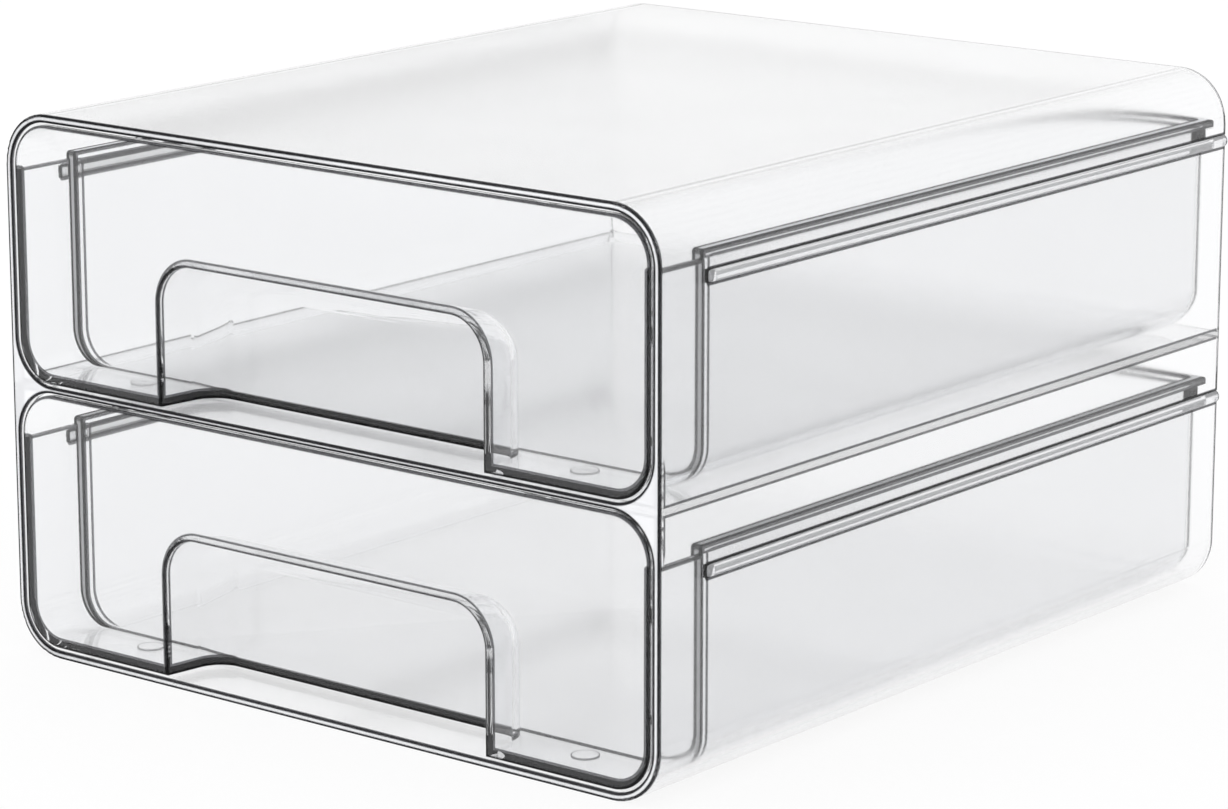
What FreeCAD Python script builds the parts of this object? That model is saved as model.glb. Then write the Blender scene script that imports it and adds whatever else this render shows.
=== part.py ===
import FreeCAD, Part
import math
import os
from types import SimpleNamespace

import Sketcher

# Clear two-tier drawer box: one moulded housing with a cell above a cell, and in each cell a
# drawer that slides out to the front on a pair of guide rails let into the side walls.
#
# Frame: millimetres, +Z up, origin at the middle of the footprint on the surface it stands on.
# The front is the -Y side, +X is to the right of someone facing the front.

DRIVING_SIZES = [
    ("housing_width", 240.0, "outer width of the housing between its side faces"),
    ("housing_depth", 276.5, "front face to back edge of the housing"),
    ("outer_radius", 16.0, "radius of the housing's four long corners"),
    ("wall", 2.4, "side walls, top and floor of the housing"),
    ("shelf", 1.9, "shelf between the two cells"),
    ("cell_height", 77.55, "clear height of each cell"),
    ("front_web", 3.0, "depth of the rounded corners that the shelf has at the front"),
    ("edge_round", 0.5, "rounding of the moulded rims and of the front plate's edges"),
    ("front_gap", 1.1, "gap between the drawer's front outline and the cell's side"),
    ("lift_gap", 0.8, "gap between the drawer and the cell's floor and ceiling"),
    ("plate", 2.4, "thickness of the drawer's front plate"),
    ("drawer_wall", 2.0, "walls and floor of the drawer"),
    ("front_length", 21.5, "front plate to the joint ring, the depth of the front moulding"),
    ("collar_drop", 1.25, "top of the collar below the start of the front plate's upper corners"),
    ("recess_half_width", 60.0, "middle to side of the finger recess at the front face"),
    ("recess_height", 41.8, "drawer bottom to the top of the finger recess at the front face"),
    ("recess_radius", 12.0, "upper corners of the finger recess at the front face"),
    ("recess_side_draft", 2.5, "how far each side of the recess leans in towards its back"),
    ("recess_top_draft", 4.6, "how far the top of the recess slopes down towards its back"),
    ("recess_back_round", 8.0, "rounding between the recess's back and its sides and top"),
    ("ring_length", 3.3, "length of the raised ring where the tub joins the front moulding"),
    ("ring_inset", 0.9, "ring's step in from the front outline"),
    ("tub_inset", 2.2, "tub's side step in from the front outline"),
    ("tub_end_gap", 3.9, "tub's back face in from the housing's back edge"),
    ("tub_corner", 4.0, "upright back corners of the tub"),
    ("tub_bottom_radius", 12.0, "rounded bottom edges of the tub"),
    ("rim_height", 2.3, "height of the rim round the top of the tub"),
    ("rim_inset", 0.5, "rim's step in from the front outline"),
    ("rim_overhang", 1.0, "rim past the tub's back face"),
    ("rim_round", 1.1, "rounding of the rim's upper front and back edges"),
    ("rail_drop", 3.9, "top of the collar to the middle of the guide rail"),
    ("rail_height", 3.6, "height of the guide rail and of its slot in the wall"),
    ("rail_proud", 1.2, "guide rail past the housing's side face"),
    ("rail_start", 20.0, "front face to the front end of the guide rail"),
    ("rail_end_gap", 1.0, "guide rail's back end in from the housing's back edge"),
    ("channel_height", 2.2, "height of the channel inside the guide rail"),
    ("channel_depth", 2.1, "depth of the channel from the wall's inner face"),
    ("channel_stop", 3.0, "closed length at the channel's front end"),
    ("stop_length", 5.0, "length of the stop lug along the drawer"),
    ("stop_thickness", 2.0, "stop lug's pad on the side of the tub"),
    ("stop_gap", 0.4, "free space round the lug's tongue in the channel"),
    ("stop_pad_drop", 1.4, "lug's pad below its tongue"),
    ("glide_radius", 4.0, "radius of the round glide buttons"),
    ("glide_height", 0.5, "height of the glide buttons"),
    ("glide_side_gap", 35.6, "middle of each glide button in from the cell's side"),
    ("glide_setback", 17.0, "front face to the middle of the glide buttons"),
    ("overrun", 5.0, "how far every cut runs past the face it opens"),
]

doc = FreeCAD.newDocument("drawer_box")
sheet = doc.addObject("Spreadsheet::Sheet", "sizes")
for row, (alias, value, meaning) in enumerate(DRIVING_SIZES, start=1):
    sheet.set("A%d" % row, meaning)
    sheet.set("B%d" % row, str(value))
    sheet.setAlias("B%d" % row, alias)
doc.recompute()


class Size:
    """A length as the expression that binds it to the sheet, with its present value."""

    def __init__(self, text, value):
        self.text = text
        self.value = value

    def __add__(self, other):
        return Size("(%s + %s)" % (self.text, other.text), self.value + other.value)

    def __sub__(self, other):
        return Size("(%s - %s)" % (self.text, other.text), self.value - other.value)

    def __mul__(self, factor):
        return Size("(%s * %s)" % (self.text, factor), self.value * factor)

    def __truediv__(self, divisor):
        return Size("(%s / %s)" % (self.text, divisor), self.value / divisor)

    def __neg__(self):
        return Size("(-%s)" % self.text, -self.value)


s = SimpleNamespace(**{
    alias: Size("sizes." + alias, float(sheet.get(alias))) for alias, _, _ in DRIVING_SIZES
})
ZERO = Size("0", 0.0)

# Sizes worked out from the driving ones.
housing_height = s.wall + s.cell_height + s.shelf + s.cell_height + s.wall
housing_half = s.housing_width / 2
half_depth = s.housing_depth / 2
cell_half = housing_half - s.wall
cell_radius = s.outer_radius - s.wall
pitch = s.cell_height + s.shelf
front_half = cell_half - s.front_gap
front_height = s.cell_height - s.lift_gap - s.lift_gap
front_radius = cell_radius - s.front_gap
ring_half = front_half - s.ring_inset
tub_half = front_half - s.tub_inset
rim_half = front_half - s.rim_inset
collar_height = front_height - front_radius - s.collar_drop
rim_top = collar_height + s.rim_height
rail_level = collar_height - s.rail_drop
tub_back = s.housing_depth - s.tub_end_gap
lug_back = tub_back - s.tub_corner
TIERS = [("lower", 0), ("upper", 1)]

# Two places count as one when they are closer than this share of the smallest rounding.
NEAR_SHARE = 0.01


def cell_floor(tier):
    """Height of a cell's floor above the surface that the housing stands on."""
    return s.wall + pitch * tier


def drawer_floor(tier):
    """Height of a drawer's underside."""
    return cell_floor(tier) + s.lift_gap


def bind(item, **sizes):
    """Ties properties of a feature to expressions; x, y and z are its place."""
    for name, size in sizes.items():
        path = "Placement.Base." + name if name in ("x", "y", "z") else name
        item.setExpression(path, size.text)
    return item


def box(name, x, y, z, length, width, height):
    """A block with its lowest corner at x, y, z."""
    block = doc.addObject("Part::Box", name)
    return bind(block, x=x, y=y, z=z, Length=length, Width=width, Height=height)


def lengthwise_cylinder(name, x, y, z, radius, length):
    """A round bar that runs from front to back."""
    bar = doc.addObject("Part::Cylinder", name)
    bar.Placement.Rotation = FreeCAD.Rotation(FreeCAD.Vector(-1, 0, 0), 90)
    return bind(bar, x=x, y=y, z=z, Radius=radius, Height=length)


def combine(kind, name, first, second):
    """A cut or an intersection of two solids."""
    result = doc.addObject("Part::" + kind, name)
    result.Base = first
    result.Tool = second
    result.Refine = True
    return result


def fuse(name, shapes):
    """Several solids as one."""
    result = doc.addObject("Part::MultiFuse", name)
    result.Shapes = shapes
    result.Refine = True
    return result


def group(name, shapes):
    """Separate solids that share one node."""
    result = doc.addObject("Part::Compound", name)
    result.Links = shapes
    return result


def sketch_on(body, name, role, offset=None):
    """A sketch on one of the body's own origin planes, moved along the plane's normal."""
    sketch = body.newObject("Sketcher::SketchObject", name)
    plane = [feature for feature in body.Origin.OriginFeatures if feature.Role == role][0]
    sketch.AttachmentSupport = [(plane, "")]
    sketch.MapMode = "FlatFace"
    if offset is not None:
        sketch.setExpression("AttachmentOffset.Base.z", offset.text)
    return sketch


def pin_size(sketch, kind, geometry, point, size):
    """Holds one coordinate of a point, or a radius, to a size."""
    if kind == "Radius":
        index = sketch.addConstraint(Sketcher.Constraint(kind, geometry, size.value))
    else:
        index = sketch.addConstraint(Sketcher.Constraint(kind, -1, 1, geometry, point, size.value))
    sketch.setExpression("Constraints[%d]" % index, size.text)


def rounded_block_outline(sketch, left, right, low, high, low_radius, high_radius):
    """A closed rectangle; either pair of corners is rounded where it has a radius."""
    radii = [low_radius, low_radius, high_radius, high_radius]
    corner = [(left, low), (right, low), (right, high), (left, high)]
    inward = [(1, 1), (-1, 1), (-1, -1), (1, -1)]
    along = [(1, 0), (0, 1), (-1, 0), (0, -1)]
    lines = []
    for i in range(4):
        j = (i + 1) % 4
        start_trim = radii[i].value if radii[i] else 0
        end_trim = radii[j].value if radii[j] else 0
        dx, dy = along[i]
        start = FreeCAD.Vector(corner[i][0].value + dx * start_trim,
                               corner[i][1].value + dy * start_trim, 0)
        end = FreeCAD.Vector(corner[j][0].value - dx * end_trim,
                             corner[j][1].value - dy * end_trim, 0)
        lines.append(sketch.addGeometry(Part.LineSegment(start, end), False))
    for i in range(4):
        before = lines[(i + 3) % 4]
        if radii[i] is None:
            sketch.addConstraint(Sketcher.Constraint("Coincident", before, 2, lines[i], 1))
            continue
        radius = radii[i].value
        centre = FreeCAD.Vector(corner[i][0].value + inward[i][0] * radius,
                                corner[i][1].value + inward[i][1] * radius, 0)
        circle = Part.Circle(centre, FreeCAD.Vector(0, 0, 1), radius)
        quarter = math.pi / 2
        first_angle = (i + 2) * quarter
        arc = sketch.addGeometry(Part.ArcOfCircle(circle, first_angle, first_angle + quarter), False)
        sketch.addConstraint(Sketcher.Constraint("Tangent", before, 2, arc, 1))
        sketch.addConstraint(Sketcher.Constraint("Tangent", arc, 2, lines[i], 1))
        pin_size(sketch, "Radius", arc, 0, radii[i])
    for i, kind in enumerate(["Horizontal", "Vertical", "Horizontal", "Vertical"]):
        sketch.addConstraint(Sketcher.Constraint(kind, lines[i]))
    pin_size(sketch, "DistanceY", lines[0], 1, low)
    pin_size(sketch, "DistanceX", lines[1], 1, right)
    pin_size(sketch, "DistanceY", lines[2], 1, high)
    pin_size(sketch, "DistanceX", lines[3], 1, left)


def pad(body, sketch, name, length, midplane=False, reverse=False):
    """A block raised on a sketch, to both sides of it or to its other side where asked."""
    feature = body.newObject("PartDesign::Pad", name)
    feature.Profile = sketch
    feature.Midplane = midplane
    feature.Reversed = reverse
    return bind(feature, Length=length)


def pocket_through(body, sketch, name, length):
    """A pocket that runs the same way to both sides of its sketch."""
    feature = body.newObject("PartDesign::Pocket", name)
    feature.Profile = sketch
    feature.Midplane = True
    return bind(feature, Length=length)


def pocket_back(body, sketch, name, length):
    """A pocket from its sketch towards the back."""
    feature = body.newObject("PartDesign::Pocket", name)
    feature.Profile = sketch
    return bind(feature, Length=length)


def round_edges(body, name, chosen, radius):
    """Rounds the edges of the body's last feature that chosen picks."""
    doc.recompute()
    last = body.Tip
    picked = ["Edge%d" % (i + 1) for i, edge in enumerate(last.Shape.Edges) if chosen(edge)]
    feature = body.newObject("PartDesign::Fillet", name)
    feature.Base = (last, picked)
    return bind(feature, Radius=radius)


def lies_at(edge, axis, place):
    """Whether a whole edge lies in the plane that cuts an axis at a place."""
    bounds = edge.BoundBox
    low = (bounds.XMin, bounds.YMin, bounds.ZMin)[axis]
    high = (bounds.XMax, bounds.YMax, bounds.ZMax)[axis]
    near = s.edge_round.value * NEAR_SHARE
    return abs(low - place) < near and abs(high - place) < near


def new_body(name):
    """A body of its own, for sketches, pads and pockets."""
    return doc.addObject("PartDesign::Body", name)


def make_housing():
    """One shell with two cells, rounded long corners and a slot for each guide rail."""
    body = new_body("housing")
    outer = sketch_on(body, "housing_outline", "XZ_Plane")
    rounded_block_outline(outer, -housing_half, housing_half, ZERO, housing_height,
                          s.outer_radius, s.outer_radius)
    pad(body, outer, "housing_block", s.housing_depth, midplane=True)
    for tier_name, tier in TIERS:
        cell = sketch_on(body, tier_name + "_cell_outline", "XZ_Plane")
        low = cell_floor(tier)
        rounded_block_outline(cell, -cell_half, cell_half, low, low + s.cell_height,
                              cell_radius, cell_radius)
        pocket_through(body, cell, tier_name + "_cell", s.housing_depth + s.overrun)
        # Behind the front web the cell is square beside the shelf.
        square = sketch_on(body, tier_name + "_square_outline", "XZ_Plane", half_depth - s.front_web)
        shelf_side = low + (s.cell_height - cell_radius) * (1 - tier)
        rounded_block_outline(square, -cell_half, cell_half, shelf_side, shelf_side + cell_radius,
                              None, None)
        pocket_back(body, square, tier_name + "_square", s.housing_depth)
    front_and_back = (-half_depth.value, half_depth.value)
    round_edges(body, "rounded_rims",
                lambda edge: any(lies_at(edge, 1, place) for place in front_and_back), s.edge_round)
    for tier_name, tier in TIERS:
        slot = sketch_on(body, tier_name + "_rail_slot_outline", "YZ_Plane")
        middle = drawer_floor(tier) + rail_level
        rounded_block_outline(slot, -half_depth + s.rail_start, half_depth + s.overrun,
                              middle - s.rail_height / 2, middle + s.rail_height / 2, None, None)
        pocket_through(body, slot, tier_name + "_rail_slots", s.housing_width + s.overrun)
    return body


def make_rail(tier_name, tier):
    """Right-hand guide rail: a flat shank in the wall's slot, a domed outside and a channel
    for the stop lug. The channel ends just behind the lug of the closed drawer."""
    prefix = tier_name + "_rail_"
    middle = drawer_floor(tier) + rail_level
    start = -half_depth + s.rail_start
    length = s.housing_depth - s.rail_start - s.rail_end_gap
    half_height = s.rail_height / 2
    # A dome of this height over the rail's height is part of a circle of this radius.
    radius = Size("((%s * %s + %s * %s) / (2 * %s))" % (
        half_height.text, half_height.text, s.rail_proud.text, s.rail_proud.text, s.rail_proud.text),
        (half_height.value ** 2 + s.rail_proud.value ** 2) / (2 * s.rail_proud.value))
    axis_x = housing_half + s.rail_proud - radius
    shank = box(prefix + "shank", cell_half, start, middle - half_height, s.wall, length, s.rail_height)
    bar = lengthwise_cylinder(prefix + "bar", axis_x, start + half_height, middle, radius,
                              length - half_height)
    nose = bind(doc.addObject("Part::Sphere", prefix + "nose"),
                x=axis_x, y=start + half_height, z=middle, Radius=radius)
    outside = box(prefix + "outside", housing_half, start - s.overrun, middle - s.overrun,
                  s.overrun, length + s.overrun + s.overrun, s.overrun + s.overrun)
    dome = combine("Common", prefix + "dome", fuse(prefix + "round", [bar, nose]), outside)
    channel_length = lug_back + s.stop_gap - s.rail_start - s.channel_stop
    channel = box(prefix + "channel", cell_half - s.overrun, start + s.channel_stop,
                  middle - s.channel_height / 2, s.overrun + s.channel_depth,
                  channel_length, s.channel_height)
    return combine("Cut", prefix + "right_hand", fuse(prefix + "solid", [shank, dome]), channel)


def make_stop(tier_name, tier):
    """Right-hand stop lug: a pad on the tub's side under the rim and a tongue in the channel."""
    prefix = tier_name + "_stop_"
    base = drawer_floor(tier)
    y = -half_depth + lug_back - s.stop_length
    tongue_low = rail_level - s.channel_height / 2 + s.stop_gap
    tongue_height = s.channel_height - s.stop_gap - s.stop_gap
    pad_low = tongue_low - s.stop_pad_drop
    lug = box(prefix + "pad", tub_half, y, base + pad_low,
              s.stop_thickness, s.stop_length, collar_height - pad_low)
    reach = cell_half + s.channel_depth - s.stop_gap - tub_half
    tongue = box(prefix + "tongue", tub_half, y, base + tongue_low, reach, s.stop_length, tongue_height)
    return fuse(prefix + "right_hand", [lug, tongue])


def make_pair(kind, tier_name, right_hand):
    """The right-hand piece and its mirror image, each a piece of its own."""
    left = doc.addObject("Part::Mirroring", "%s_left_%s" % (tier_name, kind))
    left.Source = right_hand
    left.Normal = FreeCAD.Vector(1, 0, 0)
    right_hand.Label = "%s_right_%s" % (tier_name, kind)
    return [right_hand, left]


def make_polygon_prism(name, role, corners, length):
    """A body of one padded polygon, raised to both sides of its plane."""
    body = new_body(name)
    sketch = sketch_on(body, name + "_outline", role)
    points = [FreeCAD.Vector(across.value, up.value, 0) for across, up in corners]
    lines = []
    for i, point in enumerate(points):
        line = Part.LineSegment(point, points[(i + 1) % len(points)])
        lines.append(sketch.addGeometry(line, False))
    for i, (across, up) in enumerate(corners):
        sketch.addConstraint(Sketcher.Constraint("Coincident", lines[i - 1], 2, lines[i], 1))
        pin_size(sketch, "DistanceX", lines[i], 1, across)
        pin_size(sketch, "DistanceY", lines[i], 1, up)
    pad(body, sketch, name + "_pad", length, midplane=True)
    return body


def make_prism(name, role, left, right, low, high, low_radius, high_radius, length, reverse, offset=None):
    """A body of one padded rectangle with rounded corners."""
    body = new_body(name)
    sketch = sketch_on(body, name + "_outline", role, offset)
    rounded_block_outline(sketch, left, right, low, high, low_radius, high_radius)
    pad(body, sketch, name + "_pad", length, reverse=reverse)
    return body


def part_of(size, length, whole):
    """The part of a size that falls to one length out of the whole length."""
    text = "(%s * %s / %s)" % (size.text, length.text, whole.text)
    return Size(text, size.value * length.value / whole.value)


def finish_body(name, shape):
    """A body that starts from a shape made so far, for its last roundings."""
    body = new_body(name)
    body.BaseFeature = shape
    return body


def make_recess(name, grow, ahead, low):
    """The finger recess as a solid: it narrows and slopes down towards its rounded back.
    grow is the wall laid round it, ahead and low are how far it runs past the face and bottom."""
    back = s.front_length - s.drawer_wall + grow
    half, top = {}, {}
    for place in (-ahead, back):
        half[place] = s.recess_half_width - part_of(s.recess_side_draft, place, back) + grow
        top[place] = s.recess_height - part_of(s.recess_top_draft, place, back) + grow
    front = min(half, key=lambda place: place.value)
    plan = make_polygon_prism(name + "_plan", "XY_Plane", [
        (-half[front], front), (half[front], front), (half[back], back), (-half[back], back)],
        (top[front] + low) * 2)
    profile = make_polygon_prism(name + "_profile", "YZ_Plane", [
        (front, -low), (back, -low), (back, top[back]), (front, top[front])],
        (half[front] + s.overrun) * 2)
    body = finish_body(name, combine("Common", name + "_block", plan, profile))
    round_edges(body, name + "_rounded_top",
                lambda edge: not lies_at(edge, 2, -low.value) and edge.BoundBox.YMin < back.value / 2
                and edge.BoundBox.YMax > back.value / 2, s.recess_radius + grow)
    round_edges(body, name + "_rounded_back",
                lambda edge: lies_at(edge, 1, back.value) and not lies_at(edge, 2, -low.value),
                s.recess_back_round + grow)
    return body


def make_front(tier_name, tier):
    """Front moulding: plate, collar round its bottom and sides, and the walls of the recess."""
    prefix = tier_name + "_front_"
    body = make_prism(prefix + "block", "XZ_Plane", -front_half, front_half, ZERO, front_height,
                      front_radius, front_radius, s.front_length, True)
    inner_half = front_half - s.drawer_wall
    inside = make_prism(prefix + "inside", "XZ_Plane", -inner_half, inner_half,
                        s.drawer_wall, front_height + s.overrun, front_radius - s.drawer_wall, None,
                        s.front_length, True, -s.plate)
    above = box(prefix + "above_collar", -front_half - s.overrun, s.plate, collar_height,
                front_half * 2 + s.overrun * 2, s.front_length, front_height)
    walls = make_recess(prefix + "recess_walls", s.drawer_wall, ZERO, ZERO)
    hollow = make_recess(prefix + "recess_hollow", ZERO, s.overrun, s.overrun)
    open_shell = combine("Cut", prefix + "open_shell", body, fuse(prefix + "removed", [inside, above]))
    solid = fuse(prefix + "solid", [open_shell, walls])
    front = finish_body(tier_name + "_drawer_front", combine("Cut", prefix + "open_recess", solid, hollow))
    sides = (-front_half.value, front_half.value)
    round_edges(front, prefix + "rounded_face", lambda edge: lies_at(edge, 1, 0), s.edge_round)
    round_edges(front, prefix + "rounded_collar",
                lambda edge: lies_at(edge, 2, collar_height.value)
                and any(lies_at(edge, 0, side) for side in sides), s.edge_round)
    return bind(front, y=-half_depth, z=drawer_floor(tier))


def make_tub_block(name, half, low, high, back, corner, bottom_radius, front):
    """A block whose bottom and upright back edges are rounded, as the tub's outside or inside."""
    body = new_body(name)
    sketch = sketch_on(body, name + "_outline", "XZ_Plane", -front)
    rounded_block_outline(sketch, -half, half, low, high, None, None)
    pad(body, sketch, name + "_pad", back - front, reverse=True)
    doc.recompute()

    def is_upright(edge):
        return lies_at(edge, 1, back.value) and any(
            lies_at(edge, 0, side) for side in (-half.value, half.value))

    def is_bottom(edge):
        return lies_at(edge, 2, low.value) and not lies_at(edge, 1, front.value)

    round_edges(body, name + "_uprights", is_upright, corner)
    round_edges(body, name + "_bottom", is_bottom, bottom_radius)
    return body


def make_tub(tier_name, tier):
    """Tub: rounded floor and walls, the ring that joins the front moulding, and the rim."""
    prefix = tier_name + "_tub_"
    outside = make_tub_block(prefix + "outside", tub_half, ZERO, collar_height, tub_back,
                             s.tub_corner, s.tub_bottom_radius, s.front_length)
    inside = make_tub_block(prefix + "inside", tub_half - s.drawer_wall, s.drawer_wall, rim_top + s.overrun,
                            tub_back - s.drawer_wall, s.tub_corner - s.drawer_wall,
                            s.tub_bottom_radius - s.drawer_wall, s.front_length - s.overrun)
    ring = make_prism(prefix + "ring", "XZ_Plane", -ring_half, ring_half, ZERO, collar_height,
                      front_radius - s.ring_inset, None, s.ring_length, True, -s.front_length)
    rim_back = tub_back + s.rim_overhang
    rim = make_prism(prefix + "rim", "YZ_Plane", s.front_length, rim_back, collar_height, rim_top,
                     None, s.rim_round, rim_half * 2, False, -rim_half)
    solid = fuse(prefix + "solid", [outside, ring, rim])
    tub = combine("Cut", tier_name + "_drawer_tub", solid, inside)
    return bind(tub, y=-half_depth, z=drawer_floor(tier))


def make_glides(tier_name, tier):
    """A pair of round buttons on the cell's floor, under the drawer's front corners."""
    buttons = []
    across = cell_half - s.glide_side_gap
    for side, x in (("left", -across), ("right", across)):
        button = doc.addObject("Part::Cylinder", "%s_glide_%s" % (tier_name, side))
        buttons.append(bind(button, x=x, y=-half_depth + s.glide_setback, z=cell_floor(tier),
                            Radius=s.glide_radius, Height=s.glide_height))
    return group(tier_name + "_glides", buttons)


pieces = [make_housing()]
for tier_name, tier in TIERS:
    pieces += make_pair("guide_rail", tier_name, make_rail(tier_name, tier))
    pieces += make_pair("stop_lug", tier_name, make_stop(tier_name, tier))
    pieces.append(make_front(tier_name, tier))
    pieces.append(make_tub(tier_name, tier))
    pieces.append(make_glides(tier_name, tier))

doc.recompute()
for item in doc.Objects:
    faults = [state for state in item.State if state in ("Invalid", "Error")]
    if faults:
        raise RuntimeError("%s is %s" % (item.Label, faults))

os.makedirs("parts", exist_ok=True)
for piece in pieces:
    shape = piece.Shape
    if shape.isNull() or not shape.isValid():
        raise RuntimeError("%s has no valid shape" % piece.Label)
    shape.exportStep(os.path.join("parts", piece.Label + ".step"))
    print("%-26s solids %d volume %.0f" % (piece.Label, len(shape.Solids), shape.Volume))
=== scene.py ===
import bpy
from bpy.props import FloatProperty, FloatVectorProperty, IntProperty, PointerProperty
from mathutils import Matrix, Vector


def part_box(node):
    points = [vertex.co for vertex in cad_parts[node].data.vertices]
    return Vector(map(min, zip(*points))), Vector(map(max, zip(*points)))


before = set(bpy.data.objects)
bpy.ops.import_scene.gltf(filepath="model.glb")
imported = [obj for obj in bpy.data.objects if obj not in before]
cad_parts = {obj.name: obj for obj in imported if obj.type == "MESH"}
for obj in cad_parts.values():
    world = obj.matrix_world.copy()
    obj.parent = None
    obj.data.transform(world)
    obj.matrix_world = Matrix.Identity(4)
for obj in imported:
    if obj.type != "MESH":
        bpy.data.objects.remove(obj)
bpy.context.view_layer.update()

# The clear two-tier drawer box, dressed and staged. Metres, +Z up, -Y out of the drawer fronts.
# Each kind of moulding gets a clear plastic of its own, and the stage is a pale floor under a soft sky.

bl_info = {
    "name": "Clear Drawer Box",
    "version": (1, 0, 0),
    "blender": (4, 5, 0),
    "location": "3D View > Sidebar > Drawer Box",
    "description": "Finishes the clear drawer box and sets its stage",
    "category": "Object",
}

TIERS = ("lower", "upper")
RIM_SKIN = 0.00025  # how far short of an end a face still counts as the rim
SENSOR_WIDTH = 36.0
LOW_END, SIDE_START, SIDE_END, HIGH_START = 0.30, 0.40, 0.60, 0.72  # sines of heights in the sky


def colour(name, description, default):
    """A colour that a user may change."""
    return FloatVectorProperty(name=name, description=description, default=default,
                               subtype="COLOR", size=3, min=0.0, max=1.0)


def length(name, description, default):
    """A length that a user may change, in metres."""
    return FloatProperty(name=name, description=description, default=default,
                         subtype="DISTANCE", unit="LENGTH", min=0.0, precision=5)


def share(name, description, default, highest=1.0):
    """A plain number that a user may change."""
    return FloatProperty(name=name, description=description, default=default, min=0.0,
                         max=highest, precision=3)


class PlasticSettings(bpy.types.PropertyGroup):
    """Colours and surface of the clear mouldings, with their painted edge shade and painted rim light."""

    housing_tint: colour("Housing tint", "What a housing wall lets through", (0.988, 0.991, 0.997))
    drawer_tint: colour("Drawer tint", "What a drawer wall lets through", (0.991, 0.993, 0.997))
    rail_tint: colour("Rail tint", "What a guide rail lets through", (0.95, 0.955, 0.96))
    glide_tint: colour("Glide tint", "What a glide button lets through", (0.97, 0.973, 0.978))
    # Painted shade: this colour is painted in dark lines along the inside of each edge, standing in for
    # the darkness of light bent at a clear edge.
    edge_shade_colour: colour("Edge colour", "The dark line inside a clear edge", (0.02, 0.02, 0.022))
    housing_edge: length("Housing edge line", "How far the dark line reaches in from an edge", 0.0009)
    front_edge: length("Front edge line", "How far the dark line reaches in from an edge", 0.0009)
    tub_edge: length("Tub edge line", "How far the dark line reaches in from an edge", 0.0012)
    rail_edge: length("Rail edge line", "How far the dark line reaches in from an edge", 0.0004)
    glide_edge: length("Glide edge line", "How far the dark line reaches in from an edge", 0.00045)
    edge_samples: IntProperty(name="Edge samples", description="Rays that look for an edge", default=16,
                              min=1, max=64)
    edge_open: share("Edge open", "Openness at which the dark line ends", 1.0)
    edge_shut: share("Edge shut", "Openness at which the dark line is darkest", 0.97)
    refraction: FloatProperty(name="Index of refraction", description="Bending of light in the plastic",
                              default=1.5, min=1.0, max=2.5)
    reflection: share("Reflection", "How much the plastic mirrors, next to plain glass", 0.25)
    fill_colour: colour("Fill colour", "Colour of a long way through the plastic", (0.1, 0.11, 0.13))
    housing_depth: share("Housing depth", "How fast the housing gets that colour, per metre", 0.0, 100.0)
    drawer_depth: share("Drawer depth", "How fast a drawer gets that colour, per metre", 3.0, 100.0)
    # This colour serves the real haze and also the painted light on the rims.
    milk_and_rim_light_colour: colour("Milk colour", "Colour of the light that is scattered", (0.95, 0.957, 0.975))
    housing_haze: share("Housing haze", "Share of the light that the housing's faces scatter", 0.015)
    rail_haze: share("Rail haze", "Share of the light that a guide rail's faces scatter", 0.35)
    drawer_haze: share("Drawer haze", "Share of the light that a drawer's faces scatter", 0.06)
    glide_haze: share("Glide haze", "Share of the light that a glide button's faces scatter", 0.02)
    # Painted light: the rims are turned milky white to stand in for the brightness light gives the rims of
    # clear plastic.
    painted_rim_light: share("Rim milk", "Share of the light that a housing's or tub's rims scatter", 0.8)
    front_low: share("Lowest front roughness", "Roughness where a front is clearest", 0.012)
    front_high: share("Highest front roughness", "Roughness where a front is dullest", 0.03)
    housing_low: share("Lowest housing roughness", "Roughness where the housing is clearest", 0.08)
    housing_high: share("Highest housing roughness", "Roughness where the housing is dullest", 0.12)
    tub_low: share("Lowest tub roughness", "Roughness where a tub is clearest", 0.08)
    tub_high: share("Highest tub roughness", "Roughness where a tub is dullest", 0.12)
    ripple_length: length("Ripple length", "Distance between the moulding's faint ripples", 0.045)
    ripple_height: length("Ripple height", "Height of the moulding's faint ripples", 0.00002)
    flow_length: length("Flow length", "Distance between the faint streaks of the flow", 0.03)


class StageSettings(bpy.types.PropertyGroup):
    """Floor, sky and camera."""

    floor_size: length("Floor size", "Side of the square floor", 40.0)
    floor_colour: colour("Floor colour", "Paint of the floor", (0.93, 0.93, 0.94))
    floor_glow: share("Floor glow", "How much of the floor shows as plain white", 0.9)
    sky_low: share("Sky below", "Light from low down", 1.0, 4.0)
    sky_side: share("Sky beside", "Light from half way up", 0.95, 4.0)
    sky_high: share("Sky above", "Light from overhead", 1.35, 4.0)
    camera_place: FloatVectorProperty(name="Camera place", description="Where the camera stands",
                                      default=(0.8168, -1.0247, 0.3818), subtype="TRANSLATION",
                                      unit="LENGTH", size=3, precision=4)
    camera_aim: FloatVectorProperty(name="Camera aim", description="Direction the camera looks in",
                                    default=(-0.60886, 0.75801, -0.23391), subtype="DIRECTION",
                                    size=3, precision=5)
    camera_lens: FloatProperty(name="Lens", description="Focal length over a 36 mm sensor, in millimetres",
                               default=132.0, min=10.0, max=400.0)
    light_bounces: IntProperty(name="Light bounces", description="Times that light turns inside the walls",
                               default=64, min=8, max=128)


class Signal:
    """A shader socket that can be added to, multiplied and so on, by numbers and by others."""

    def __init__(self, shader, socket):
        self.shader = shader
        self.socket = socket

    def maths(self, operation, first, second):
        return self.shader.maths(operation, first, second)

    def __add__(self, other):
        return self.maths("ADD", self, other)

    __radd__ = __add__

    def __rsub__(self, other):
        return self.maths("SUBTRACT", other, self)

    def __mul__(self, other):
        return self.maths("MULTIPLY", self, other)

    __rmul__ = __mul__


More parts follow.
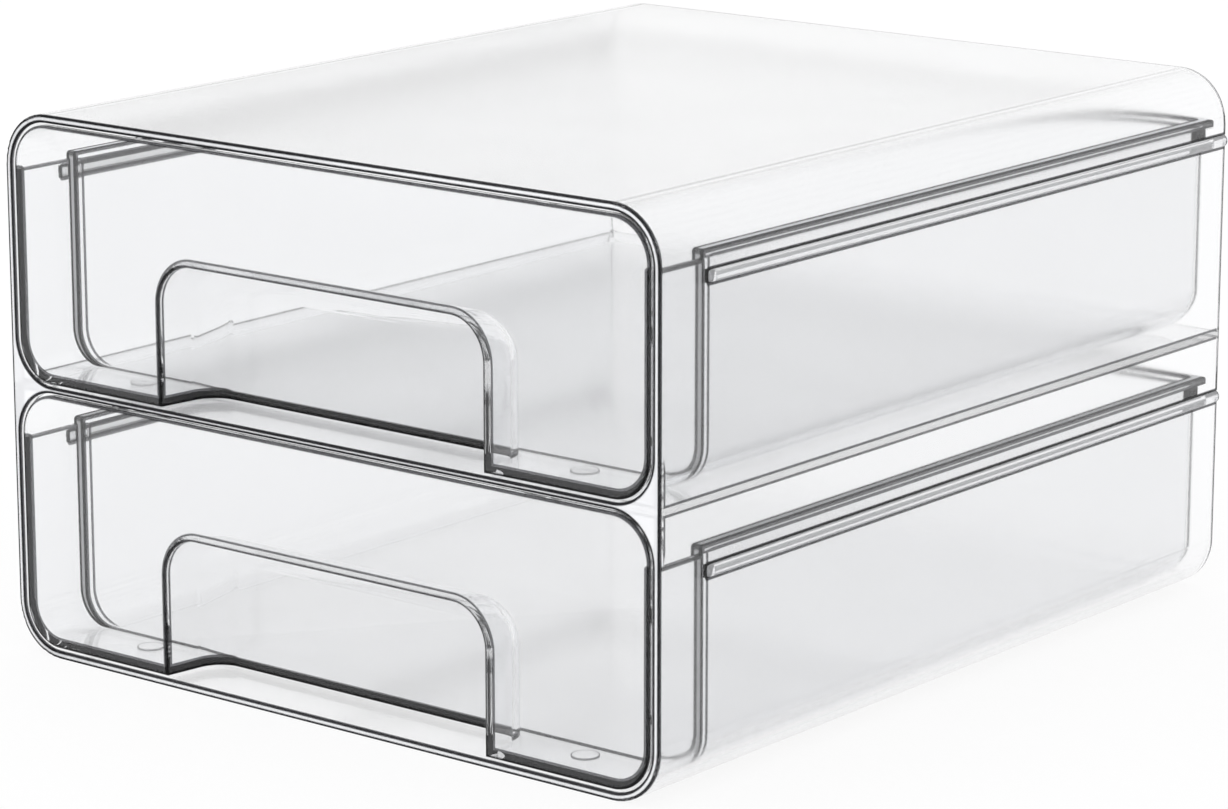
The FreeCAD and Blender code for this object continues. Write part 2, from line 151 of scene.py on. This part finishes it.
class Shader:
    """Adds nodes to a node tree."""

    def __init__(self, tree):
        self.tree = tree
        tree.nodes.clear()

    def node(self, kind, settings=None, inputs=None):
        """A node of a type, with its settings, and then its sockets' values or links."""
        made = self.tree.nodes.new(kind)
        for name, value in (settings or {}).items():
            if name == "stops":
                self.set_stops(made.color_ramp, value)
            else:
                setattr(made, name, value)
        for name, value in (inputs or {}).items():
            socket = self.find_socket(made.inputs, name)
            if isinstance(value, Signal):
                self.tree.links.new(value.socket, socket)
            elif isinstance(value, bpy.types.NodeSocket):
                self.tree.links.new(value, socket)
            else:
                socket.default_value = value
        return made

    @staticmethod
    def find_socket(sockets, name):
        """The socket in use of that name, or the one at that place."""
        if isinstance(name, int):
            return sockets[name]
        return [socket for socket in sockets if socket.name == name and socket.enabled][0]

    @staticmethod
    def set_stops(ramp, stops):
        """Gives a colour ramp its stops, each a place and a colour."""
        while len(ramp.elements) < len(stops):
            ramp.elements.new(0.5)
        for element, (place, shade) in zip(ramp.elements, stops):
            element.position = place
            element.color = (*shade, 1.0)

    def signal(self, node, name):
        """A node's output, ready for sums."""
        return Signal(self, self.find_socket(node.outputs, name))

    def maths(self, operation, first, second):
        """A sum of two numbers or signals."""
        return self.signal(self.node("ShaderNodeMath", {"operation": operation}, {0: first, 1: second}),
                           "Value")

    def mix_colours(self, factor, first, second):
        """One colour where the factor is 0, the other where it is 1."""
        mixed = self.node("ShaderNodeMix", {"data_type": "RGBA"},
                          {"Factor": factor, "A": (*first, 1.0), "B": (*second, 1.0)})
        return self.signal(mixed, "Result")

    def finish(self, surface, kind="ShaderNodeOutputMaterial", volume=None):
        """Sends a surface, and what fills it, to the output."""
        output = self.node(kind, {}, {"Surface": surface})
        if volume is not None:
            self.tree.links.new(volume, output.inputs["Volume"])


def new_shader(name):
    """A material with an empty node tree."""
    material = bpy.data.materials.new(name)
    material.use_nodes = True
    return material, Shader(material.node_tree)


def at_rims(shader, place, rims):
    """1 on the faces that lie at the given ends, and 0 elsewhere."""
    along = shader.node("ShaderNodeSeparateXYZ", {}, {"Vector": place})
    found = 0.0
    for axis, side, limit in rims:
        past = shader.maths("GREATER_THAN", side * shader.signal(along, axis), limit)
        found = shader.maths("MAXIMUM", found, past)
    return found


def painted_edge_shade(shader, reach):
    """Painted shade: 1 along the inside of the piece's edges, as far in as the reach, and 0 elsewhere."""
    plastic = bpy.context.scene.drawer_box_plastic
    near_edge = shader.node("ShaderNodeAmbientOcclusion", {
        "inside": True, "only_local": True, "samples": plastic.edge_samples}, {"Distance": reach})
    line = shader.node("ShaderNodeMapRange", {}, {
        "Value": near_edge.outputs["AO"], "From Min": plastic.edge_shut, "From Max": plastic.edge_open,
        "To Min": 1.0, "To Max": 0.0})
    return shader.signal(line, "Result")


def flow_roughness(shader, place, lowest, highest):
    """Roughness that wanders between two values, as the melt's flow leaves it."""
    streaks = shader.node("ShaderNodeTexNoise", {}, {
        "Vector": place, "Scale": 1.0 / bpy.context.scene.drawer_box_plastic.flow_length, "Detail": 2.0})
    return lowest + shader.signal(streaks, "Fac") * (highest - lowest)


def rippled_normal(shader, place):
    """The surface's direction, with the moulding's faint ripples."""
    plastic = bpy.context.scene.drawer_box_plastic
    ripples = shader.node("ShaderNodeTexNoise", {}, {
        "Vector": place, "Scale": 1.0 / plastic.ripple_length, "Detail": 0.0})
    bump = shader.node("ShaderNodeBump", {}, {
        "Strength": 1.0, "Distance": plastic.ripple_height, "Height": ripples.outputs["Fac"]})
    return bump.outputs["Normal"]


def clear_plastic(name, tint, edge, depth, haze, lowest_roughness, highest_roughness, rims=(),
                  pressed_flat=False):
    """Clear moulded plastic with painted shade as dark lines inside its edges, painted light as a milky
    white skin on its rims, and a milky skin as thick as its haze.

    A piece that is pressed flat between others shows only by the painted shade lines along its edges."""
    plastic = bpy.context.scene.drawer_box_plastic
    material, shader = new_shader(name)
    place = shader.node("ShaderNodeTexCoord").outputs["Object"]
    # Painted shade: dark lines along the inside of every edge, found by occlusion.
    line = painted_edge_shade(shader, edge)

    # The clear surface takes the painted shade colour along its edges.
    clear = shader.node("ShaderNodeBsdfPrincipled", {}, {
        "Base Color": shader.mix_colours(line, tint, plastic.edge_shade_colour),
        "Roughness": flow_roughness(shader, place, lowest_roughness, highest_roughness),
        "Normal": rippled_normal(shader, place), "IOR": plastic.refraction, "Transmission Weight": 1.0,
        "Specular Tint": (plastic.reflection, plastic.reflection, plastic.reflection, 1.0),
        "Alpha": line if pressed_flat else 1.0})
    # The milky skin takes the painted shade colour along its edges too.
    milky = shader.node("ShaderNodeBsdfPrincipled", {}, {
        "Base Color": shader.mix_colours(line, plastic.milk_and_rim_light_colour, plastic.edge_shade_colour),
        "Roughness": 1.0, "Specular IOR Level": 0.0})

    from_inside = shader.signal(shader.node("ShaderNodeNewGeometry"), "Backfacing")
    # Painted light: the rims get a milky white skin on top of the haze.
    if rims:
        haze = haze + plastic.painted_rim_light * at_rims(shader, place, rims)
    scattered = haze * (1.0 - from_inside)
    # A pressed-flat piece shows its painted shade lines as an opaque dark skin.
    if pressed_flat:
        scattered = shader.maths("MAXIMUM", scattered, line)
    surface = shader.node("ShaderNodeMixShader", {}, {
        "Fac": scattered, 1: clear.outputs["BSDF"], 2: milky.outputs["BSDF"]})
    fill = None
    if depth > 0.0:
        fill = shader.node("ShaderNodeVolumeAbsorption", {}, {
            "Color": (*plastic.fill_colour, 1.0), "Density": depth}).outputs["Volume"]
    shader.finish(surface.outputs["Shader"], volume=fill)
    return material


def dress(kind, material):
    """Gives its material to every carried-over piece whose name ends so."""
    nodes = [node for name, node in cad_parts.items() if name.endswith(kind)]
    if not nodes:
        raise RuntimeError("no piece is named " + kind)
    for node in nodes:
        for slot in node.material_slots:
            slot.material = material


class DRAWERBOX_OT_housing(bpy.types.Operator):
    """Finish the housing as one clear moulding"""

    bl_idname = "drawer_box.housing"
    bl_label = "Housing"

    def execute(self, context):
        plastic = context.scene.drawer_box_plastic
        front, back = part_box("housing")
        dress("housing", clear_plastic(
            "housing_plastic", plastic.housing_tint, plastic.housing_edge, plastic.housing_depth,
            plastic.housing_haze, plastic.housing_low, plastic.housing_high,
            # The front and back rims get the painted rim light.
            rims=(("Y", 1.0, back[1] - RIM_SKIN), ("Y", -1.0, -front[1] - RIM_SKIN))))
        return {"FINISHED"}


class DRAWERBOX_OT_guide_rails(bpy.types.Operator):
    """Finish the four guide rails in the housing's sides"""

    bl_idname = "drawer_box.guide_rails"
    bl_label = "Guide rails"

    def execute(self, context):
        plastic = context.scene.drawer_box_plastic
        dress("guide_rail", clear_plastic(
            "guide_rail_plastic", plastic.rail_tint, plastic.rail_edge, plastic.housing_depth,
            plastic.rail_haze, plastic.front_low, plastic.front_high))
        return {"FINISHED"}


class DRAWERBOX_OT_drawer_fronts(bpy.types.Operator):
    """Finish the front moulding of each drawer, with its finger recess"""

    bl_idname = "drawer_box.drawer_fronts"
    bl_label = "Drawer fronts"

    def execute(self, context):
        plastic = context.scene.drawer_box_plastic
        dress("drawer_front", clear_plastic(
            "drawer_front_plastic", plastic.drawer_tint, plastic.front_edge, plastic.drawer_depth,
            plastic.drawer_haze, plastic.front_low, plastic.front_high))
        return {"FINISHED"}


class DRAWERBOX_OT_drawer_tubs(bpy.types.Operator):
    """Finish the tub of each drawer, with its rim and joint ring"""

    bl_idname = "drawer_box.drawer_tubs"
    bl_label = "Drawer tubs"

    def execute(self, context):
        plastic = context.scene.drawer_box_plastic
        for tier in TIERS:
            name = tier + "_drawer_tub"
            front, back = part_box(name)
            dress(name, clear_plastic(
                name + "_plastic", plastic.drawer_tint, plastic.tub_edge, plastic.drawer_depth,
                plastic.drawer_haze, plastic.tub_low, plastic.tub_high,
                # The front and top rims get the painted rim light.
                rims=(("Y", -1.0, -front[1] - RIM_SKIN), ("Z", 1.0, back[2] - RIM_SKIN))))
        return {"FINISHED"}


class DRAWERBOX_OT_stop_lugs(bpy.types.Operator):
    """Finish the stop lugs at the drawers' back corners"""

    bl_idname = "drawer_box.stop_lugs"
    bl_label = "Stop lugs"

    def execute(self, context):
        plastic = context.scene.drawer_box_plastic
        dress("stop_lug", clear_plastic(
            "stop_lug_plastic", plastic.drawer_tint, plastic.tub_edge, plastic.drawer_depth,
            plastic.drawer_haze, plastic.front_low, plastic.front_high))
        return {"FINISHED"}


class DRAWERBOX_OT_glides(bpy.types.Operator):
    """Finish the soft glide buttons under the drawers' front corners"""

    bl_idname = "drawer_box.glides"
    bl_label = "Glides"

    def execute(self, context):
        plastic = context.scene.drawer_box_plastic
        # The glides show only as painted shade lines along their edges.
        dress("glides", clear_plastic(
            "glide_plastic", plastic.glide_tint, plastic.glide_edge, plastic.housing_depth,
            plastic.glide_haze, plastic.front_low, plastic.front_high, pressed_flat=True))
        return {"FINISHED"}


def lay_floor(stage):
    """A wide pale floor that keeps a soft shadow and shows as white."""
    bpy.ops.mesh.primitive_plane_add(size=stage.floor_size)
    floor = bpy.context.object
    floor.name = "floor"
    material, shader = new_shader("floor_paint")
    path = shader.node("ShaderNodeLightPath")
    seen = 0.0
    for ray in ("Is Camera Ray", "Is Glossy Ray", "Is Transmission Ray"):
        seen = shader.maths("MAXIMUM", seen, shader.signal(path, ray))
    paint = shader.node("ShaderNodeBsdfDiffuse", {}, {"Color": (*stage.floor_colour, 1.0)})
    glow = shader.node("ShaderNodeEmission", {}, {"Color": (1.0, 1.0, 1.0, 1.0), "Strength": 1.0})
    surface = shader.node("ShaderNodeMixShader", {}, {
        "Fac": seen * stage.floor_glow, 1: paint.outputs["BSDF"], 2: glow.outputs["Emission"]})
    shader.finish(surface.outputs["Shader"])
    floor.data.materials.append(material)


def hang_sky(stage):
    """Soft light, a little dimmer half way up and brighter overhead, and white behind the object."""
    world = bpy.data.worlds.new("studio")
    world.use_nodes = True
    bpy.context.scene.world = world
    shader = Shader(world.node_tree)
    direction = shader.node("ShaderNodeSeparateXYZ", {}, {
        "Vector": shader.node("ShaderNodeTexCoord").outputs["Generated"]})
    low, side, high = [(value, value, value) for value in (stage.sky_low, stage.sky_side, stage.sky_high)]
    sky = shader.node("ShaderNodeValToRGB", {"stops": [
        (0.0, low), (LOW_END, low), (SIDE_START, side), (SIDE_END, side), (HIGH_START, high),
        (1.0, high)]},
        {"Fac": direction.outputs["Z"]})
    light = shader.node("ShaderNodeBackground", {}, {"Color": sky.outputs["Color"], "Strength": 1.0})
    white = shader.node("ShaderNodeBackground", {}, {"Color": (1.0, 1.0, 1.0, 1.0), "Strength": 1.0})
    path = shader.node("ShaderNodeLightPath")
    surface = shader.node("ShaderNodeMixShader", {}, {
        "Fac": path.outputs["Is Camera Ray"],
        1: light.outputs["Background"], 2: white.outputs["Background"]})
    shader.finish(surface.outputs["Shader"], "ShaderNodeOutputWorld")


def place_camera(stage):
    """The camera, at the photograph's viewing angle."""
    camera = bpy.data.objects.new("camera", bpy.data.cameras.new("camera"))
    bpy.context.scene.collection.objects.link(camera)
    camera.data.lens = stage.camera_lens
    camera.data.sensor_width = SENSOR_WIDTH
    camera.location = stage.camera_place
    camera.rotation_euler = Vector(stage.camera_aim).to_track_quat("-Z", "Y").to_euler()
    bpy.context.scene.camera = camera


class DRAWERBOX_OT_stage(bpy.types.Operator):
    """Lay the floor, hang the sky and place the camera"""

    bl_idname = "drawer_box.stage"
    bl_label = "Stage"

    def execute(self, context):
        scene = context.scene
        stage = scene.drawer_box_stage
        lay_floor(stage)
        hang_sky(stage)
        place_camera(stage)
        scene.view_settings.view_transform = "Standard"
        scene.cycles.max_bounces = stage.light_bounces
        scene.cycles.glossy_bounces = stage.light_bounces
        scene.cycles.transmission_bounces = stage.light_bounces
        return {"FINISHED"}


class DRAWERBOX_PT_panel(bpy.types.Panel):
    """Lists the box's pieces and its stage"""

    bl_idname = "DRAWERBOX_PT_panel"
    bl_label = "Drawer Box"
    bl_space_type = "VIEW_3D"
    bl_region_type = "UI"
    bl_category = "Drawer Box"

    def draw(self, context):
        column = self.layout.column()
        for operator in OPERATORS:
            column.operator(operator.bl_idname)
        for group in (context.scene.drawer_box_plastic, context.scene.drawer_box_stage):
            for name in group.__annotations__:
                column.prop(group, name)


OPERATORS = (DRAWERBOX_OT_housing, DRAWERBOX_OT_guide_rails, DRAWERBOX_OT_drawer_fronts,
             DRAWERBOX_OT_drawer_tubs, DRAWERBOX_OT_stop_lugs, DRAWERBOX_OT_glides, DRAWERBOX_OT_stage)
CLASSES = (PlasticSettings, StageSettings, *OPERATORS, DRAWERBOX_PT_panel)


def register():
    for cls in CLASSES:
        bpy.utils.register_class(cls)
    bpy.types.Scene.drawer_box_plastic = PointerProperty(type=PlasticSettings)
    bpy.types.Scene.drawer_box_stage = PointerProperty(type=StageSettings)


def unregister():
    del bpy.types.Scene.drawer_box_stage
    del bpy.types.Scene.drawer_box_plastic
    for cls in reversed(CLASSES):
        bpy.utils.unregister_class(cls)


def main():
    register()
    for operator in OPERATORS:
        group, name = operator.bl_idname.split(".")
        getattr(getattr(bpy.ops, group), name)()


if __name__ == "__main__":
    main()
